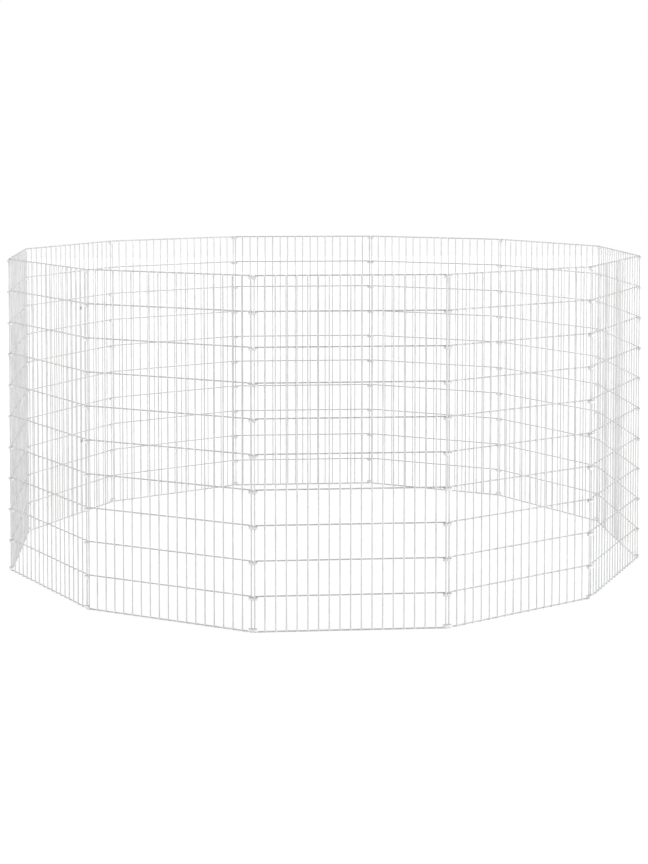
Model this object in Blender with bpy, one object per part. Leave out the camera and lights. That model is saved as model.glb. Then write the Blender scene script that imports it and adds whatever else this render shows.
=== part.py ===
"""Folding wire pen: a ring of twelve welded mesh panels, linked at every corner by flat metal bands.

The panels stand on edge with no roof and no floor. Two edge wires stand loose in the bands of each corner,
and the corners fold inward and outward by turns. At the last corner the bands are open hooks on the door
panel, so that the ring opens there.
In each panel's own frame X runs to the right seen from outside, Y points into the pen and Z is up.
"""

import math

import bmesh
import bpy
from mathutils import Matrix, Vector

# Ring
PANELS = 12
STILL_PANEL = 6
FRONT_PANEL = 2

# Mesh panel, in metres
PANEL_HEIGHT = 1.000
WIRE = 0.004
UPRIGHTS = 19
UPRIGHT_PITCH = 0.030
EDGE_PITCH = 0.0284
CROSSWIRES = 11
CROSSING_GAP = 0.0001

# Corner bands, in metres
CORNER_GAP = 0.0096
BAND_STRIP = 0.001
BAND_HEIGHT = 0.007
BAND_END_ROOM = 0.0062
BAND_SIDE_ROOM = 0.004
BAND_SEAT_GAP = 0.0003
BAND_ROUND_STEPS = 4
BANDS_BELOW_CROSSWIRES = {"lower": 3, "upper": 7, "top": 10}

# Distance between two neighbouring panels when they are folded together, in metres
INWARD_FOLD_GAP = 0.0126
OUTWARD_FOLD_GAP = 0.008

# Mouth of the hooks on the door, in metres
HOOK_MOUTH_ROOM = 0.0015
HOOK_LIP_SWEEP = math.radians(32)

# Worked out from the sizes above
PANEL_SPAN = (UPRIGHTS - 3) * UPRIGHT_PITCH + 2 * EDGE_PITCH
ROW_PITCH = (PANEL_HEIGHT - WIRE) / (CROSSWIRES - 1)
HALF_TURN = math.pi / PANELS
SIDE = PANEL_SPAN + CORNER_GAP / math.cos(HALF_TURN)
APOTHEM = SIDE / (2 * math.tan(HALF_TURN))
BAND_LENGTH = CORNER_GAP + WIRE + 2 * (BAND_END_ROOM + BAND_STRIP)
BAND_DEPTH = WIRE + 2 * (BAND_SIDE_ROOM + BAND_STRIP)
WIRE_CORNER = WIRE * math.sqrt(0.5)

ZINC_WIRE = (0.62, 0.63, 0.63, 1.0)
ZINC_STRIP = (0.66, 0.67, 0.67, 1.0)


def clear_scene():
    for thing in list(bpy.data.objects):
        bpy.data.objects.remove(thing, do_unlink=True)


def zinc(name, colour, roughness):
    finish = bpy.data.materials.new(name)
    finish.use_nodes = True
    shader = finish.node_tree.nodes["Principled BSDF"]
    shader.inputs["Base Color"].default_value = colour
    shader.inputs["Metallic"].default_value = 0.8
    shader.inputs["Roughness"].default_value = roughness
    return finish


def add_prism(bm, outline, depth):
    """A closed prism that stands on an outline of points and runs along the vector depth."""
    base = bm.faces.new([bm.verts.new(point) for point in outline])
    pulled = bmesh.ops.extrude_face_region(bm, geom=[base])["geom"]
    top = [part for part in pulled if isinstance(part, bmesh.types.BMVert)]
    bmesh.ops.translate(bm, verts=top, vec=depth)


def finished_mesh(bm, name):
    bmesh.ops.recalc_face_normals(bm, faces=bm.faces)
    mesh = bpy.data.meshes.new(name)
    bm.to_mesh(mesh)
    bm.free()
    return mesh


def upright_places():
    """Where the uprights stand along a panel, from its left edge wire to its right one."""
    inner = [UPRIGHT_PITCH * (place - (UPRIGHTS - 3) / 2) for place in range(UPRIGHTS - 2)]
    return [-PANEL_SPAN / 2, *inner, PANEL_SPAN / 2]


def crosswire_height(row):
    """The axis of a crosswire above the ground; row 0 is the lowest."""
    return WIRE / 2 + row * ROW_PITCH


# The crosswires lie on the inner side of the uprights. The rim is welded through: every upright has a foot
# into the top and the bottom crosswire, and every other crosswire has a foot into both edge wires.
# The crossings inside the rim keep CROSSING_GAP between the two wires.
CROSSWIRE_FACE = WIRE / 2 + CROSSING_GAP
CROSSWIRE_AXIS = CROSSWIRE_FACE + WIRE / 2


def uprights_mesh():
    bm = bmesh.new()
    front, back, foot = -WIRE / 2, WIRE / 2, CROSSWIRE_AXIS
    top = PANEL_HEIGHT
    profile = [
        (front, 0), (foot, 0), (foot, WIRE), (back, WIRE),
        (back, top - WIRE), (foot, top - WIRE), (foot, top), (front, top),
    ]
    for place in upright_places():
        left = place - WIRE / 2
        add_prism(bm, [(left, y, z) for y, z in profile], (WIRE, 0, 0))
    return finished_mesh(bm, "uprights")


def crosswires_mesh():
    bm = bmesh.new()
    near, far = CROSSWIRE_FACE, CROSSWIRE_FACE + WIRE
    end = PANEL_SPAN / 2 + WIRE / 2
    straight = [(-end, near), (end, near), (end, far), (-end, far)]
    footed = [
        (-end, 0), (WIRE - end, 0), (WIRE - end, near), (end - WIRE, near),
        (end - WIRE, 0), (end, 0), (end, far), (-end, far),
    ]
    for row in range(CROSSWIRES):
        low = crosswire_height(row) - WIRE / 2
        profile = straight if row in (0, CROSSWIRES - 1) else footed
        add_prism(bm, [(x, y, low) for x, y in profile], (0, 0, WIRE))
    return finished_mesh(bm, "crosswires")


def welded_panel_mesh():
    """Uprights and crosswires joined into one welded mesh."""
    uprights = bpy.data.objects.new("uprights", uprights_mesh())
    crosswires = bpy.data.objects.new("crosswires", crosswires_mesh())
    for wires in (uprights, crosswires):
        bpy.context.scene.collection.objects.link(wires)
    weld = uprights.modifiers.new("weld", "BOOLEAN")
    weld.operation = "UNION"
    weld.object = crosswires
    graph = bpy.context.evaluated_depsgraph_get()
    panel = bpy.data.meshes.new_from_object(uprights.evaluated_get(graph))
    panel.name = "mesh_panel"
    for wires in (uprights, crosswires):
        bpy.data.objects.remove(wires, do_unlink=True)
    return panel


def arc(centre, radius, start, sweep, steps):
    """Points on an arc in the plane of the ground, ends included."""
    turns = [start + sweep * step / steps for step in range(steps + 1)]
    return [(centre + radius * math.cos(turn), radius * math.sin(turn)) for turn in turns]


def band_path(inset):
    """The band's closed outline, drawn inset from its outer face."""
    radius = BAND_DEPTH / 2 - inset
    centre = (BAND_LENGTH - BAND_DEPTH) / 2
    right = arc(centre, radius, -math.pi / 2, math.pi, BAND_ROUND_STEPS)
    left = arc(-centre, radius, math.pi / 2, math.pi, BAND_ROUND_STEPS)
    return right + left


def hook_path(inset):
    """The open hook: a lip past the next wire, the outer side, the round end, half of the inner side."""
    radius = BAND_DEPTH / 2 - inset
    centre = (BAND_LENGTH - BAND_DEPTH) / 2
    lip = arc(centre, radius, HOOK_LIP_SWEEP - math.pi / 2, -HOOK_LIP_SWEEP, BAND_ROUND_STEPS - 1)
    left = arc(-centre, radius, -math.pi / 2, -math.pi, BAND_ROUND_STEPS)
    mouth = CORNER_GAP / 2 - WIRE_CORNER - HOOK_MOUTH_ROOM
    return lip + left + [(mouth, radius)]


def band_mesh():
    """A closed band: two outlines, with the strip between them."""
    bm = bmesh.new()
    rims = []
    for inset, height in ((0, 0), (0, BAND_HEIGHT), (BAND_STRIP, BAND_HEIGHT), (BAND_STRIP, 0)):
        rims.append([bm.verts.new((x, y, height)) for x, y in band_path(inset)])
    for rim, following in zip(rims, rims[1:] + rims[:1]):
        for place in range(len(rim)):
            beside = (place + 1) % len(rim)
            bm.faces.new((rim[place], rim[beside], following[beside], following[place]))
    return finished_mesh(bm, "band")


def hook_mesh():
    bm = bmesh.new()
    outline = hook_path(0) + hook_path(BAND_STRIP)[::-1]
    add_prism(bm, [(x, y, 0) for x, y in outline], (0, 0, BAND_HEIGHT))
    return finished_mesh(bm, "hook")


def band_heights():
    """The lower face of each band: one stands on the lowest crosswire, the others hang below theirs."""
    heights = {"bottom": WIRE + BAND_SEAT_GAP}
    for name, row in BANDS_BELOW_CROSSWIRES.items():
        heights[name] = crosswire_height(row) - WIRE / 2 - BAND_SEAT_GAP - BAND_HEIGHT
    return heights


def place(thing, parent, spot, turn):
    """Sets a thing at a spot in its parent's frame, turned about Z."""
    thing.parent = parent
    thing.location = spot
    thing.rotation_euler = (0.0, 0.0, turn)
    bpy.context.scene.collection.objects.link(thing)
    return thing


def pivot(name, parent, spot, turn):
    axis = bpy.data.objects.new(name, None)
    axis.empty_display_size = 0.02
    return place(axis, parent, spot, turn)


def solid(name, mesh, finish, parent, spot, turn=0.0):
    piece = bpy.data.objects.new(name, mesh)
    if not mesh.materials:
        mesh.materials.append(finish)
    return place(piece, parent, spot, turn)


def add_bands(corner, kind, mesh, finish, panel, way):
    """The bands of one corner, which turn about an edge wire: way is 1 for the right one, -1 for the left."""
    edge = pivot(f"corner_{corner:02d}_{kind}s", panel, (way * PANEL_SPAN / 2, 0.0, 0.0), way * HALF_TURN)
    for name, height in band_heights().items():
        spot = (way * CORNER_GAP / 2, 0.0, height)
        solid(f"corner_{corner:02d}_{kind}_{name}", mesh, finish, edge, spot)


def fold_axis(corner, way):
    """A corner's folding axis in the frame of the panel before it; even corners fold inward.

    The axis is half the folded panels' gap off both of them, and as far from one edge wire as from the other.
    """
    lift = INWARD_FOLD_GAP / 2 if corner % 2 == 0 else -OUTWARD_FOLD_GAP / 2
    beside = CORNER_GAP / 2
    away = (lift - beside * math.sin(HALF_TURN)) / math.cos(HALF_TURN)
    beyond = beside * math.cos(HALF_TURN) - away * math.sin(HALF_TURN)
    return Vector((way * (PANEL_SPAN / 2 + beyond), lift, 0.0))


def add_panels(first, last, way, meshes, finishes, still):
    """Corners and panels outward from the still panel: way is 1 to the right and -1 to the left."""
    panel = still
    for number in range(first, last + way, way):
        corner = number - 1 if way > 0 else number
        add_bands(corner, "band", meshes["band"], finishes["strip"], panel, way)
        axis = fold_axis(corner, way)
        hinge = pivot(f"corner_{corner:02d}_hinge", panel, axis, way * 2 * HALF_TURN)
        spot = (axis.x, -axis.y, 0.0)
        panel = solid(f"panel_{number:02d}", meshes["panel"], finishes["wire"], hinge, spot)
    return panel


def build_pen():
    clear_scene()
    meshes = {"panel": welded_panel_mesh(), "band": band_mesh(), "hook": hook_mesh()}
    finishes = {
        "wire": zinc("galvanised wire", ZINC_WIRE, 0.45),
        "strip": zinc("galvanised strip", ZINC_STRIP, 0.40),
    }
    turn = 2 * HALF_TURN * (STILL_PANEL - FRONT_PANEL)
    spot = Matrix.Rotation(turn, 3, "Z") @ Vector((0.0, -APOTHEM, 0.0))
    still = solid(f"panel_{STILL_PANEL:02d}", meshes["panel"], finishes["wire"], None, spot, turn)
    door = add_panels(STILL_PANEL + 1, PANELS, 1, meshes, finishes, still)
    add_panels(STILL_PANEL - 1, 1, -1, meshes, finishes, still)
    add_bands(PANELS, "hook", meshes["hook"], finishes["strip"], door, 1)


build_pen()
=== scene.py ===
"""Looks of the folding wire pen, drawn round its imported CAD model.

Every mesh panel gets round wires with a spot weld at each crossing, every corner gets its eleven flat
metal bands, and the door panel gets its open hooks and two small clips.
In a panel's own frame X runs to the right seen from outside, Y points into the pen and Z is up.
"""

import math

import bmesh
import bpy
from mathutils import Matrix, Vector


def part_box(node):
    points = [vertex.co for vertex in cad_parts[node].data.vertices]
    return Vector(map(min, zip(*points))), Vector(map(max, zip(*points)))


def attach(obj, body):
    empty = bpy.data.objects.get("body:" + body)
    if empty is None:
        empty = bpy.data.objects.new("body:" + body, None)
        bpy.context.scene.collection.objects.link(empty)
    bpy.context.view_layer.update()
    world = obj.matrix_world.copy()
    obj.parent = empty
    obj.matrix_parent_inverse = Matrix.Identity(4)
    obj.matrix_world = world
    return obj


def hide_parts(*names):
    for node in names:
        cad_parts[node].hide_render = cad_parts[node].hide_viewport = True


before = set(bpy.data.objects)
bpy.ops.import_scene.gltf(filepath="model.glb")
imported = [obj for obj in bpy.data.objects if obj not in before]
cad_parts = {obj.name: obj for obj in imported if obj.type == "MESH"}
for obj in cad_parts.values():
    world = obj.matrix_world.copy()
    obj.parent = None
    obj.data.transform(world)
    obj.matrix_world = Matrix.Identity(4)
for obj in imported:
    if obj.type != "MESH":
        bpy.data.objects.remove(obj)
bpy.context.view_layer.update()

# The ring, and the levels at which the CAD model has bands
PANELS = 12
FRONT_PANEL = 2
PANEL_TURN = 2 * math.pi / PANELS
CORNER_GAP = 0.0096
LEVELS = ("bottom", "lower", "upper", "top")

# Wires, in metres. WIRE_CORNER is half the diagonal of the square bar that the CAD model has for a wire.
WIRE = 0.004
WIRE_CORNER = WIRE * math.sqrt(0.5)
UPRIGHTS = 19
UPRIGHT_PITCH = 0.030
UPRIGHT_POINTS = 43
CROSSWIRES = 11
CROSSWIRE_POINTS = 39
WIRE_SIDES = 12

# Cut ends: how far the rim is taken off along the wire, and the share of the width that is left
WIRE_CUT = 0.0003
CUT_FACE = 0.8

# Waves of the mesh: their reach in metres, the noise that they follow, and its step from panel to panel
WAVE = 0.0002
WAVE_SCALE = 9.0
WAVE_DETAIL = 2.0
WAVE_GAIN = 4.0
WAVE_STEP = 3.7

# Spot welds, in metres
WELD_SINK = 0.0005
WELD_SIZE = (0.00225, 0.00125, 0.00225)
WELD_SPREAD = 0.15
WELD_SIDES = 8
WELD_RINGS = 5

# Bands and hooks, in metres
BAND_STRIP = 0.001
BAND_HEIGHT = 0.007
BAND_LENGTH = 0.028
BAND_DEPTH = 0.014
BAND_RADIUS = (BAND_DEPTH - BAND_STRIP) / 2
BAND_CENTRE = (BAND_LENGTH - BAND_DEPTH) / 2
BAND_SEAT_GAP = 0.0003
BAND_SEAM = 0.0005
BAND_EDGE = 0.00028
BAND_TURN = math.radians(2.5)
ROUND_STEPS = 8
HOOK_LIP_SWEEP = math.radians(32)
HOOK_LIP_STEPS = 3
HOOK_MOUTH_ROOM = 0.0015

# Door clips and their rivets, in metres
CLIP_AT = 0.240
CLIP_HEIGHTS = (0.493, 0.883)
CLIP_STRIP = 0.0009
CLIP_HEIGHT = 0.008
CLIP_REACH = 0.0062
CLIP_LEAF = 0.0006
CLIP_ROUND = 0.00255
RIVET_BACK = 0.0044
RIVET_FOOT = 0.0014
RIVET_TOP = 0.0009
RIVET_RISE = 0.0009
RIVET_SIDES = 16

# Faces that meet at more than this stay sharp
SHARP_ANGLE = math.radians(40)

# Zinc: crystals, clouds, dull patches and grain by the metre, and how strongly each one shows.
# DARK_ROUGHNESS and LIGHT_ROUGHNESS are added to a finish's own roughness in its dark and light zinc.
CRYSTALS = 420.0
CRYSTAL_CONTRAST = 0.22
CLOUDS = 16.0
CLOUD_DETAIL = 4.0
CLOUD_LEVELS = (0.3, 0.7)
CLOUD_SHADES = (0.15, 0.85)
DULL_PATCHES = 75.0
DULL_DETAIL = 3.0
DULL_LEVELS = (0.56, 0.70)
DULL_ROUGHNESS = 0.16
DULL_GRAIN = 0.6
DARK_ROUGHNESS = 0.06
LIGHT_ROUGHNESS = -0.04
GRAIN = 2600.0
GRAIN_DETAIL = 2.0
GRAIN_STRENGTH = 0.25
GRAIN_DEPTH = 0.00005
METALLIC = 0.6
FULL_RANGE = (0.0, 1.0)

# Zinc of the mesh panels: the painted shade that draws the crosswires darker than the uprights, and the
# marks round the welds, in metres
CROSSWIRE_PAINTED_SHADE = 0.84
WELD_FADE = (0.0022, 0.0060)
WELD_COVER = 0.7
WELD_ROUGHNESS = 0.12

# Camera: place in metres, turns in radians, lens and sensor in millimetres, shift in picture heights
CAMERA_PLACE = (-0.0234, -5.6145, 1.3492)
CAMERA_YAW = -0.0051
CAMERA_PITCH = -0.0438
CAMERA_REACH = 100.0
PEN_TURN = 0.0734
LENS = 69.24
SENSOR = 36.0
SHIFT = -0.244

# Studio
WHITE = (1.0, 1.0, 1.0, 1.0)
FLOOR_COLOUR = (0.80, 0.80, 0.80, 1.0)
FLOOR_ROUGHNESS = 0.9
FLOOR_GLOW = 0.44
FLOOR_HALF = 15.0
WORLD_LIGHT = 0.55
LAMP_DISTANCE = 6.0

front_low, front_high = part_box(f"panel_{FRONT_PANEL:02d}")
PANEL_HEIGHT = front_high.z
PANEL_SPAN = front_high.x - front_low.x - WIRE
APOTHEM = -front_low.y - WIRE / 2
ROW_PITCH = (PANEL_HEIGHT - WIRE) / (CROSSWIRES - 1)


def panel_place(number):
    """Where a panel stands in the ring."""
    turn = PANEL_TURN * (number - FRONT_PANEL)
    return Matrix.Rotation(turn, 4, "Z") @ Matrix.Translation((0, -APOTHEM, 0))


def corner_place(number):
    """Where a corner's bands stand: beside the panel's right edge, turned half way to the next panel."""
    half = PANEL_TURN / 2
    middle = (PANEL_SPAN / 2 + CORNER_GAP / 2 * math.cos(half), CORNER_GAP / 2 * math.sin(half), 0)
    return panel_place(number) @ Matrix.Translation(middle) @ Matrix.Rotation(half, 4, "Z")


# Nodes, for geometry and materials alike


def add_node(tree, kind, inputs=None, **settings):
    """A node with its settings. An input takes a value or the socket that feeds it."""
    node = tree.nodes.new(kind)
    for name, value in settings.items():
        setattr(node, name, value)
    for name, value in (inputs or {}).items():
        if isinstance(value, bpy.types.NodeSocket):
            tree.links.new(value, node.inputs[name])
        else:
            node.inputs[name].default_value = value
    return node


def made(tree, kind, inputs=None, **settings):
    """The first output of a new node."""
    return add_node(tree, kind, inputs, **settings).outputs[0]


def maths(tree, operation, *values):
    return made(tree, "ShaderNodeMath", dict(enumerate(values)), operation=operation)


def vector(tree, x=0.0, y=0.0, z=0.0):
    return made(tree, "ShaderNodeCombineXYZ", {"X": x, "Y": y, "Z": z})


def vector_maths(tree, operation, first, second):
    return made(tree, "ShaderNodeVectorMath", {0: first, 1: second}, operation=operation)


def scaled(tree, value, factor):
    """A vector or colour times a number."""
    return made(tree, "ShaderNodeVectorMath", {0: value, "Scale": factor}, operation="SCALE")


def ranged(tree, value, levels, results, **settings):
    """The result that lies between the two results as the value lies between the two levels."""
    inputs = {0: value, 1: levels[0], 2: levels[1], 3: results[0], 4: results[1]}
    return made(tree, "ShaderNodeMapRange", inputs, **settings)


# Geometry trees


def geometry_tree(name, inputs):
    """A geometry node tree with named inputs: its input sockets by name, and the identifiers of them."""
    tree = bpy.data.node_groups.new(name, "GeometryNodeTree")
    sockets = tree.interface
    sockets.new_socket("Geometry", in_out="INPUT", socket_type="NodeSocketGeometry")
    keys = {}
    for label, kind in inputs.items():
        socket = sockets.new_socket(label, in_out="INPUT", socket_type=f"NodeSocket{kind}")
        keys[label] = socket.identifier
    sockets.new_socket("Geometry", in_out="OUTPUT", socket_type="NodeSocketGeometry")
    return tree, tree.nodes.new("NodeGroupInput").outputs, keys


def finish_tree(tree, geometry, finish):
    """The end of every tree: real mesh in place of instances, and its material."""
    real = made(tree, "GeometryNodeRealizeInstances", {"Geometry": geometry})
    smooth = made(tree, "GeometryNodeSetShadeSmooth", {"Geometry": real})
    painted = made(tree, "GeometryNodeSetMaterial", {"Geometry": smooth, "Material": finish})
    add_node(tree, "NodeGroupOutput", {"Geometry": painted})


def random_number(tree, seed, least, most):
    """A number for each copy, drawn from the seed."""
    inputs = {"Seed": seed, 2: least, 3: most}
    return add_node(tree, "FunctionNodeRandomValue", inputs, data_type="FLOAT").outputs[1]


def labelled(tree, geometry, name, value, data_type="FLOAT"):
    """Geometry that carries a value under a name, for its material to read."""
    inputs = {"Geometry": geometry, "Name": name, "Value": value}
    return made(tree, "GeometryNodeStoreNamedAttribute", inputs, data_type=data_type)


def placed_copies(tree, piece, count, position, rotation=None, scale=None):
    """Copies of a piece on as many points, each at the position that its index gives."""
    points = made(tree, "GeometryNodePoints", {"Count": count, "Position": position})
    inputs = {"Points": points, "Instance": piece}
    if rotation is not None:
        inputs["Rotation"] = rotation
    if scale is not None:
        inputs["Scale"] = scale
    return made(tree, "GeometryNodeInstanceOnPoints", inputs)


def cut_wire(tree, length, width, points):
    """A round wire that stands on the origin, with the rims of its cut ends taken off.

    The second point and the last but one lie a cut's depth inside the ends, the others evenly between.
    """
    line = made(tree, "GeometryNodeMeshLine", {"Count": points})
    index = made(tree, "GeometryNodeInputIndex")
    share = maths(tree, "DIVIDE", maths(tree, "SUBTRACT", index, 1.0), points - 3.0)
    inner = maths(tree, "SUBTRACT", length, 2 * WIRE_CUT)
    height = maths(tree, "MULTIPLY_ADD", share, inner, WIRE_CUT)
    clamped = maths(tree, "MAXIMUM", maths(tree, "MINIMUM", height, length), 0.0)
    inputs = {"Geometry": line, "Position": vector(tree, z=clamped)}
    placed = made(tree, "GeometryNodeSetPosition", inputs)
    curve = made(tree, "GeometryNodeMeshToCurve", {"Mesh": placed})
    ends = made(tree, "GeometryNodeCurveEndpointSelection")
    inputs = {"Switch": ends, "False": 1.0, "True": CUT_FACE}
    scale = made(tree, "GeometryNodeSwitch", inputs, input_type="FLOAT")
    inputs = {"Resolution": WIRE_SIDES, "Radius": maths(tree, "DIVIDE", width, 2.0)}
    ring = made(tree, "GeometryNodeCurvePrimitiveCircle", inputs)
    inputs = {"Curve": curve, "Profile Curve": ring, "Scale": scale, "Fill Caps": True}
    return made(tree, "GeometryNodeCurveToMesh", inputs)


# The mesh panel's tree


def upright_place(tree, given, number):
    """How far along the panel an upright stands. The two gaps at its edges are smaller than the pitch."""
    middle = maths(tree, "DIVIDE", maths(tree, "SUBTRACT", given["Uprights"], 1.0), 2.0)
    even = maths(tree, "MULTIPLY", maths(tree, "SUBTRACT", number, middle), given["Upright Pitch"])
    right = maths(tree, "DIVIDE", given["Span"], 2.0)
    left = maths(tree, "MULTIPLY", right, -1.0)
    return maths(tree, "MAXIMUM", maths(tree, "MINIMUM", even, right), left)


def row_height(tree, given, row):
    """How high a crosswire lies, from the lowest one on the ground up."""
    half_wire = maths(tree, "DIVIDE", given["Wire"], 2.0)
    return maths(tree, "MULTIPLY_ADD", row, given["Row Pitch"], half_wire)


def upright_wires(tree, given):
    """The uprights, side by side from the left edge to the right one."""
    upright = cut_wire(tree, given["Height"], given["Wire"], UPRIGHT_POINTS)
    foot = vector(tree, x=upright_place(tree, given, made(tree, "GeometryNodeInputIndex")))
    return placed_copies(tree, upright, given["Uprights"], foot)


def crossing_wires(tree, given):
    """The crosswires, which lie on the uprights' inner side. They are labelled so that their material can
    paint shade on them and draw them darker than the uprights.
    """
    length = maths(tree, "ADD", given["Span"], given["Wire"])
    plain = cut_wire(tree, length, given["Wire"], CROSSWIRE_POINTS)
    crosswire = labelled(tree, plain, "crosswire", 1.0)
    start = maths(tree, "DIVIDE", length, -2.0)
    height = row_height(tree, given, made(tree, "GeometryNodeInputIndex"))
    left_end = vector(tree, start, given["Layer Gap"], height)
    lying = (0.0, math.pi / 2, 0.0)
    return placed_copies(tree, crosswire, given["Crosswires"], left_end, lying)


def weld_beads(tree, given):
    """A flat bead between the two wires of every crossing, each of a slightly different size."""
    index = made(tree, "GeometryNodeInputIndex")
    crossings = maths(tree, "MULTIPLY", given["Uprights"], given["Crosswires"])
    upright = maths(tree, "MODULO", index, given["Uprights"])
    row = maths(tree, "FLOOR", maths(tree, "DIVIDE", index, given["Uprights"]))
    along = upright_place(tree, given, upright)
    inward = maths(tree, "DIVIDE", given["Layer Gap"], 2.0)
    spot = vector(tree, along, inward, row_height(tree, given, row))
    inputs = {"Segments": WELD_SIDES, "Rings": WELD_RINGS, "Radius": 1.0}
    bead = made(tree, "GeometryNodeMeshUVSphere", inputs)
    spread = random_number(tree, given["Seed"], 1.0 - WELD_SPREAD, 1.0 + WELD_SPREAD)
    return placed_copies(tree, bead, crossings, spot, scale=scaled(tree, WELD_SIZE, spread))


def waved(tree, given, mesh):
    """The mesh bent a little in X and Y, so that wires that cross bend together.

    It keeps its straight place under a name, for the marks round the welds.
    """
    where = made(tree, "GeometryNodeInputPosition")
    straight = labelled(tree, mesh, "place in mesh", where, "FLOAT_VECTOR")
    drift = maths(tree, "MULTIPLY", given["Seed"], WAVE_STEP)
    inputs = {"Vector": where, "W": drift, "Scale": WAVE_SCALE, "Detail": WAVE_DETAIL}
    noise = add_node(tree, "ShaderNodeTexNoise", inputs, noise_dimensions="4D").outputs["Color"]
    centred = vector_maths(tree, "SUBTRACT", noise, (0.5, 0.5, 0.5))
    bent = scaled(tree, centred, maths(tree, "MULTIPLY", given["Wave"], WAVE_GAIN))
    level = vector_maths(tree, "MULTIPLY", bent, (1.0, 1.0, 0.0))
    return made(tree, "GeometryNodeSetPosition", {"Geometry": straight, "Offset": level})


def mesh_panel_tree():
    """Uprights, crosswires on their inner side, and a weld at every crossing, all gently waved together."""
    tree, given, keys = geometry_tree(
        "welded mesh panel",
        {
            "Height": "Float",
            "Span": "Float",
            "Wire": "Float",
            "Uprights": "Int",
            "Upright Pitch": "Float",
            "Crosswires": "Int",
            "Row Pitch": "Float",
            "Layer Gap": "Float",
            "Wave": "Float",
            "Seed": "Int",
            "Finish": "Material",
        },
    )
    together = add_node(tree, "GeometryNodeJoinGeometry")
    for pieces in (upright_wires, crossing_wires, weld_beads):
        tree.links.new(pieces(tree, given), together.inputs[0])
    mesh = made(tree, "GeometryNodeRealizeInstances", {"Geometry": together.outputs[0]})
    finish_tree(tree, waved(tree, given, mesh), given["Finish"])
    return tree, keys


# The bent strip's tree


def strip_tree():
    """Flat strip bent along the path that comes in, with copies of it one above another."""
    tree, given, keys = geometry_tree(
        "strip on a path",
        {
            "Thickness": "Float",
            "Height": "Float",
            "Edge": "Float",
            "Rows": "Int",
            "Row Pitch": "Float",
            "Drop": "Float",
            "Lowest": "Float",
            "Turn": "Float",
            "Seed": "Int",
            "Finish": "Material",
        },
    )
    path = made(tree, "GeometryNodeMeshToCurve", {"Mesh": given["Geometry"]})
    upright = made(tree, "GeometryNodeSetCurveNormal", {"Curve": path}, mode="Z_UP")
    inputs = {"Width": given["Thickness"], "Height": given["Height"]}
    section = made(tree, "GeometryNodeCurvePrimitiveQuadrilateral", inputs)
    inputs = {"Curve": section, "Count": 1, "Radius": given["Edge"]}
    rounded = made(tree, "GeometryNodeFilletCurve", inputs, mode="POLY")
    inputs = {"Curve": upright, "Profile Curve": rounded, "Fill Caps": True}
    strip = made(tree, "GeometryNodeCurveToMesh", inputs)
    index = made(tree, "GeometryNodeInputIndex")
    hung = maths(tree, "SUBTRACT", maths(tree, "MULTIPLY", index, given["Row Pitch"]), given["Drop"])
    height = maths(tree, "MAXIMUM", hung, given["Lowest"])
    chance = random_number(tree, given["Seed"], -1.0, 1.0)
    turn = vector(tree, z=maths(tree, "MULTIPLY", chance, given["Turn"]))
    stacked = placed_copies(tree, strip, given["Rows"], vector(tree, z=height), turn)
    finish_tree(tree, stacked, given["Finish"])
    return tree, keys


# Pieces from trees and meshes


def in_scene(name, data):
    """A new object, linked into the scene."""
    item = bpy.data.objects.new(name, data)
    bpy.context.scene.collection.objects.link(item)
    return item


def piece_from(name, mesh, place):
    """A finished piece: its place is in its points, so its object stays at the origin."""
    mesh.name = name
    mesh.transform(place)
    mesh.set_sharp_from_angle(angle=SHARP_ANGLE)
    return in_scene(name, mesh)


def grown(name, start_mesh, tree_and_keys, values, place):
    """The piece that a tree grows from a start mesh, as a plain mesh."""
    tree, keys = tree_and_keys
    host = in_scene("host", start_mesh)
    growth = host.modifiers.new("growth", "NODES")
    growth.node_group = tree
    for label, value in values.items():
        growth[keys[label]] = value
    graph = bpy.context.evaluated_depsgraph_get()
    shown = host.evaluated_get(graph)
    mesh = bpy.data.meshes.new_from_object(shown, preserve_all_data_layers=True, depsgraph=graph)
    host.modifiers.remove(growth)
    bpy.data.objects.remove(host, do_unlink=True)
    return piece_from(name, mesh, place)


# Paths of the bent strips, in the plane of the ground


def path_mesh(points):
    """A chain of edges from point to point."""
    mesh = bpy.data.meshes.new("path")
    edges = [(step, step + 1) for step in range(len(points) - 1)]
    mesh.from_pydata([(x, y, 0.0) for x, y in points], edges, [])
    return mesh


def arc(centre, radius, start, sweep, steps):
    """Points of an arc whose centre lies on X."""
    turns = [start + sweep * step / steps for step in range(steps + 1)]
    return [(centre + radius * math.cos(turn), radius * math.sin(turn)) for turn in turns]


def band_path():
    """The band's middle line, from its seam on the inner side round and back to it."""
    right = arc(BAND_CENTRE, BAND_RADIUS, math.pi / 2, -math.pi, ROUND_STEPS)
    left = arc(-BAND_CENTRE, BAND_RADIUS, -math.pi / 2, -math.pi, ROUND_STEPS)
    return [(BAND_SEAM / 2, BAND_RADIUS)] + right + left + [(-BAND_SEAM / 2, BAND_RADIUS)]


def hook_path():
    """The hook's middle line: a lip, the outer side, the round end and a short inner side."""
    lip = arc(BAND_CENTRE, BAND_RADIUS, HOOK_LIP_SWEEP - math.pi / 2, -HOOK_LIP_SWEEP, HOOK_LIP_STEPS)
    left = arc(-BAND_CENTRE, BAND_RADIUS, -math.pi / 2, -math.pi, ROUND_STEPS)
    mouth = CORNER_GAP / 2 - WIRE_CORNER - HOOK_MOUTH_ROOM
    return lip + left + [(mouth, BAND_RADIUS)]


def clip_path():
    """The clip's middle line: a leaf, round the wire, and the other leaf back."""
    opening = math.asin(CLIP_LEAF / CLIP_ROUND)
    sweep = 2 * math.pi - 2 * opening
    loop = arc(CLIP_AT, CLIP_ROUND, math.pi - opening, -sweep, 2 * ROUND_STEPS)
    tip = CLIP_AT - CLIP_REACH
    return [(tip, CLIP_LEAF)] + loop + [(tip, -CLIP_LEAF)]


# Materials


def new_material(name):
    """A material, with its node tree and its shader."""
    material = bpy.data.materials.new(name)
    material.use_nodes = True
    return material, material.node_tree, material.node_tree.nodes["Principled BSDF"]


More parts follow.
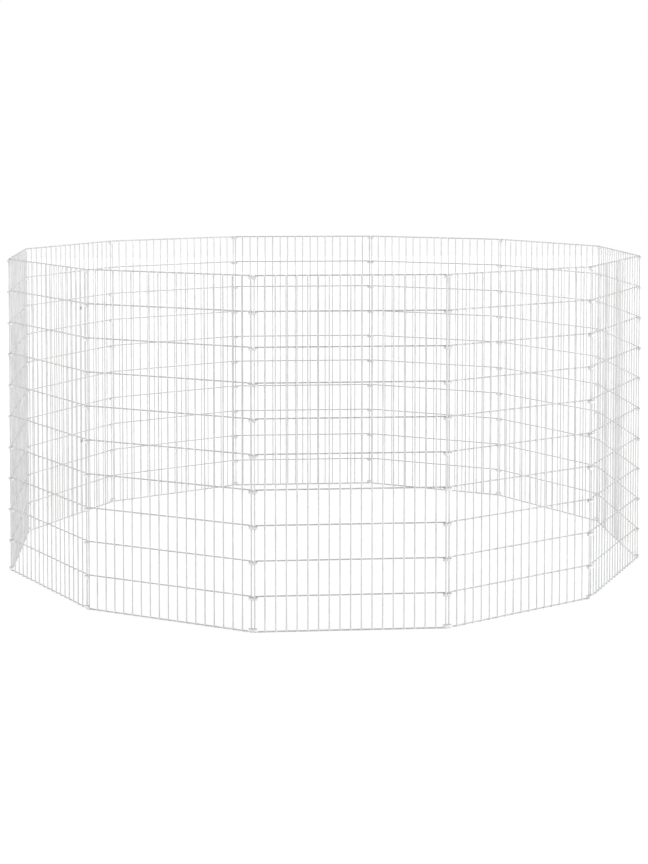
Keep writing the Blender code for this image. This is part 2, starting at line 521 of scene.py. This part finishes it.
def blended(tree, share, first, second):
    """Two colours mixed: the first where the share is 0, the second where it is 1."""
    inputs = {0: share, 6: first, 7: second}
    return add_node(tree, "ShaderNodeMix", inputs, data_type="RGBA").outputs[2]


def noise(tree, where, scale, detail):
    return made(tree, "ShaderNodeTexNoise", {"Vector": where, "Scale": scale, "Detail": detail})


def weld_mark(tree):
    """1 at the crossings of a mesh panel's wires, fading to 0 a few millimetres along each wire."""
    place = add_node(tree, "ShaderNodeAttribute", attribute_name="place in mesh").outputs["Vector"]
    parts = add_node(tree, "ShaderNodeSeparateXYZ", {0: place}).outputs
    beside = maths(tree, "PINGPONG", parts["X"], UPRIGHT_PITCH / 2)
    above = maths(tree, "PINGPONG", maths(tree, "SUBTRACT", parts["Z"], WIRE / 2), ROW_PITCH / 2)
    apart = vector(tree, x=beside, z=above)
    distance = add_node(tree, "ShaderNodeVectorMath", {0: apart}, operation="LENGTH").outputs["Value"]
    return ranged(tree, distance, WELD_FADE, (1.0, 0.0), interpolation_type="SMOOTHSTEP")


def crosswire_shade_and_weld_marks(tree, colour, rough, weld):
    """Colour and roughness of a mesh panel: painted shade that draws the crosswires darker than the
    uprights, and a pale dull mark round each weld.
    """
    crosswire = add_node(tree, "ShaderNodeAttribute", attribute_name="crosswire").outputs["Fac"]
    # Painted shade: the crosswires are drawn darker, as if less light fell on them than on the uprights.
    shade = maths(tree, "MULTIPLY_ADD", crosswire, CROSSWIRE_PAINTED_SHADE - 1.0, 1.0)
    mark = weld_mark(tree)
    cover = maths(tree, "MULTIPLY", mark, WELD_COVER)
    marked = blended(tree, cover, scaled(tree, colour, shade), weld)
    return marked, maths(tree, "ADD", rough, maths(tree, "MULTIPLY", mark, WELD_ROUGHNESS))


def zinc(name, dark, light, roughness, weld=None):
    """Galvanised steel: small crystals, larger clouds, dull patches and a fine grain.

    A weld colour is given for the mesh panels only, which also get painted shade on their crosswires.
    """
    finish, tree, shader = new_material(name)
    where = add_node(tree, "ShaderNodeTexCoord").outputs["Object"]

    crystals = add_node(tree, "ShaderNodeTexVoronoi", {"Vector": where, "Scale": CRYSTALS}).outputs["Color"]
    crystal = made(tree, "ShaderNodeSeparateColor", {0: crystals})
    spangle = ranged(tree, crystal, FULL_RANGE, (-CRYSTAL_CONTRAST, CRYSTAL_CONTRAST))
    clouds = ranged(tree, noise(tree, where, CLOUDS, CLOUD_DETAIL), CLOUD_LEVELS, CLOUD_SHADES)
    shade = made(tree, "ShaderNodeClamp", {0: maths(tree, "ADD", clouds, spangle)})
    colour = blended(tree, shade, dark, light)

    dull = ranged(tree, noise(tree, where, DULL_PATCHES, DULL_DETAIL), DULL_LEVELS, FULL_RANGE)
    satin = ranged(tree, shade, FULL_RANGE, (roughness + DARK_ROUGHNESS, roughness + LIGHT_ROUGHNESS))
    rough = maths(tree, "MULTIPLY_ADD", dull, DULL_ROUGHNESS, satin)
    if weld is not None:
        colour, rough = crosswire_shade_and_weld_marks(tree, colour, rough, weld)

    fine = noise(tree, where, GRAIN, GRAIN_DETAIL)
    grain = maths(tree, "ADD", fine, maths(tree, "MULTIPLY", dull, DULL_GRAIN))
    inputs = {"Height": grain, "Strength": GRAIN_STRENGTH, "Distance": GRAIN_DEPTH}
    bump = made(tree, "ShaderNodeBump", inputs)

    tree.links.new(colour, shader.inputs["Base Color"])
    tree.links.new(rough, shader.inputs["Roughness"])
    tree.links.new(bump, shader.inputs["Normal"])
    shader.inputs["Metallic"].default_value = METALLIC
    return finish


wire_finish = zinc(
    "galvanised wire",
    dark=(0.615, 0.62, 0.618, 1.0),
    light=(0.74, 0.746, 0.743, 1.0),
    roughness=0.58,
    weld=(0.775, 0.775, 0.77, 1.0),
)
strip_finish = zinc(
    "galvanised strip",
    dark=(0.79, 0.795, 0.793, 1.0),
    light=(0.88, 0.886, 0.883, 1.0),
    roughness=0.80,
)
clip_finish = zinc(
    "galvanised clip",
    dark=(0.35, 0.355, 0.358, 1.0),
    light=(0.46, 0.465, 0.468, 1.0),
    roughness=0.50,
)


# Pieces


def mesh_panels():
    """The twelve panels, each waved in its own way."""
    tree_and_keys = mesh_panel_tree()
    start = bpy.data.meshes.new("blank")
    panel_values = {
        "Height": PANEL_HEIGHT,
        "Span": PANEL_SPAN,
        "Wire": WIRE,
        "Uprights": UPRIGHTS,
        "Upright Pitch": UPRIGHT_PITCH,
        "Crosswires": CROSSWIRES,
        "Row Pitch": ROW_PITCH,
        "Layer Gap": WIRE - WELD_SINK,
        "Wave": WAVE,
        "Finish": wire_finish,
    }
    for number in range(1, PANELS + 1):
        values = {**panel_values, "Seed": number}
        wires = grown(f"mesh_panel_{number:02d}", start, tree_and_keys, values, panel_place(number))
        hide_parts(f"panel_{number:02d}")
        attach(wires, f"panel_{number:02d}")


def corner_bands(bent_strip):
    """All bands of a corner in one piece, and in their place the door's hooks at the last corner."""
    band_values = {
        "Thickness": BAND_STRIP,
        "Height": BAND_HEIGHT,
        "Edge": BAND_EDGE,
        "Rows": CROSSWIRES,
        "Row Pitch": ROW_PITCH,
        "Drop": BAND_SEAT_GAP + BAND_HEIGHT / 2,
        "Lowest": WIRE + BAND_SEAT_GAP + BAND_HEIGHT / 2,
        "Turn": BAND_TURN,
        "Finish": strip_finish,
    }
    for corner in range(1, PANELS + 1):
        hooked = corner == PANELS
        path = path_mesh(hook_path() if hooked else band_path())
        name = "door_hooks" if hooked else f"corner_bands_{corner:02d}"
        kind = "hook" if hooked else "band"
        bands = grown(name, path, bent_strip, {**band_values, "Seed": corner}, corner_place(corner))
        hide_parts(*[f"corner_{corner:02d}_{kind}_{level}" for level in LEVELS])
        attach(bands, f"panel_{PANELS:02d}" if hooked else f"corner_{corner:02d}_bands")


def door_clips(bent_strip):
    """Two small clips closed round the upright next to the door's right edge."""
    clip_values = {
        "Thickness": CLIP_STRIP,
        "Height": CLIP_HEIGHT,
        "Edge": BAND_EDGE,
        "Rows": len(CLIP_HEIGHTS),
        "Row Pitch": CLIP_HEIGHTS[1] - CLIP_HEIGHTS[0],
        "Drop": -CLIP_HEIGHTS[0],
        "Lowest": 0.0,
        "Turn": 0.0,
        "Seed": 0,
        "Finish": clip_finish,
    }
    clips = grown("door_clips", path_mesh(clip_path()), bent_strip, clip_values, panel_place(PANELS))
    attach(clips, f"panel_{PANELS:02d}")


def clip_rivets():
    """A flat rivet head on both leaves of each clip."""
    heads = bmesh.new()
    for height in CLIP_HEIGHTS:
        for side in (1, -1):
            leaf = Matrix.Translation((CLIP_AT - RIVET_BACK, side * (CLIP_LEAF + CLIP_STRIP / 2), height))
            lean = Matrix.Rotation(-side * math.pi / 2, 4, "X")
            bmesh.ops.create_cone(
                heads,
                cap_ends=True,
                segments=RIVET_SIDES,
                radius1=RIVET_FOOT,
                radius2=RIVET_TOP,
                depth=RIVET_RISE,
                matrix=leaf @ lean,
            )
    mesh = bpy.data.meshes.new("rivets")
    heads.to_mesh(mesh)
    heads.free()
    mesh.shade_smooth()
    mesh.materials.append(clip_finish)
    rivets = piece_from("door_clip_rivets", mesh, panel_place(PANELS))
    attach(rivets, f"panel_{PANELS:02d}")


# Studio


def seen_directly(tree):
    """1 for what the camera sees straight, in gloss or through glass, and 0 for light on the object."""
    path = add_node(tree, "ShaderNodeLightPath")
    glossy = maths(tree, "MAXIMUM", path.outputs["Is Camera Ray"], path.outputs["Is Glossy Ray"])
    return maths(tree, "MAXIMUM", glossy, path.outputs["Is Transmission Ray"])


def pale_floor():
    """A floor that looks white where it is lit, and keeps the pen's shadow."""
    finish, tree, shader = new_material("pale floor")
    shader.inputs["Base Color"].default_value = FLOOR_COLOUR
    shader.inputs["Roughness"].default_value = FLOOR_ROUGHNESS
    shader.inputs["Emission Color"].default_value = WHITE
    glow = maths(tree, "MULTIPLY", seen_directly(tree), FLOOR_GLOW)
    tree.links.new(glow, shader.inputs["Emission Strength"])
    mesh = bpy.data.meshes.new("floor")
    square = ((-1, -1), (1, -1), (1, 1), (-1, 1))
    mesh.from_pydata([(x * FLOOR_HALF, y * FLOOR_HALF, 0) for x, y in square], [], [(0, 1, 2, 3)])
    mesh.materials.append(finish)
    floor = in_scene("floor", mesh)


def white_world():
    """A background that shows white, and lights the pen at a lower level."""
    world = bpy.data.worlds.new("studio")
    bpy.context.scene.world = world
    world.use_nodes = True
    tree = world.node_tree
    background = tree.nodes["Background"]
    background.inputs["Color"].default_value = WHITE
    level = maths(tree, "MULTIPLY_ADD", seen_directly(tree), 1.0 - WORLD_LIGHT, WORLD_LIGHT)
    tree.links.new(level, background.inputs["Strength"])


def soft_lamp(name, turn, height, strength, softness):
    """A broad lamp far away.

    In degrees, turn is its bearing from the pen and height its angle over the ground.
    """
    light = bpy.data.lights.new(name, "SUN")
    light.energy = strength
    light.angle = math.radians(softness)
    bearing = math.radians(turn)
    rise = math.radians(height)
    level = math.cos(rise)
    toward = Vector((math.cos(bearing) * level, math.sin(bearing) * level, math.sin(rise)))
    lamp = in_scene(name, light)
    lamp.location = toward * LAMP_DISTANCE
    lamp.rotation_euler = toward.to_track_quat("Z", "Y").to_euler()


def camera():
    """The photograph's view. The camera goes round the pen by as much as the pen is turned there."""
    data = bpy.data.cameras.new("camera")
    data.lens = LENS
    data.sensor_width = SENSOR
    data.shift_y = SHIFT
    data.clip_end = CAMERA_REACH
    view = in_scene("camera", data)
    view.location = Matrix.Rotation(-PEN_TURN, 3, "Z") @ Vector(CAMERA_PLACE)
    view.rotation_euler = (math.pi / 2 + CAMERA_PITCH, 0.0, CAMERA_YAW - PEN_TURN)
    bpy.context.scene.camera = view


strip = strip_tree()
mesh_panels()
corner_bands(strip)
door_clips(strip)
clip_rivets()

pale_floor()
white_world()
soft_lamp("key", turn=-12, height=12, strength=1.9, softness=40)
soft_lamp("fill", turn=180, height=12, strength=1.3, softness=40)
camera()
bpy.context.scene.view_settings.view_transform = "Standard"
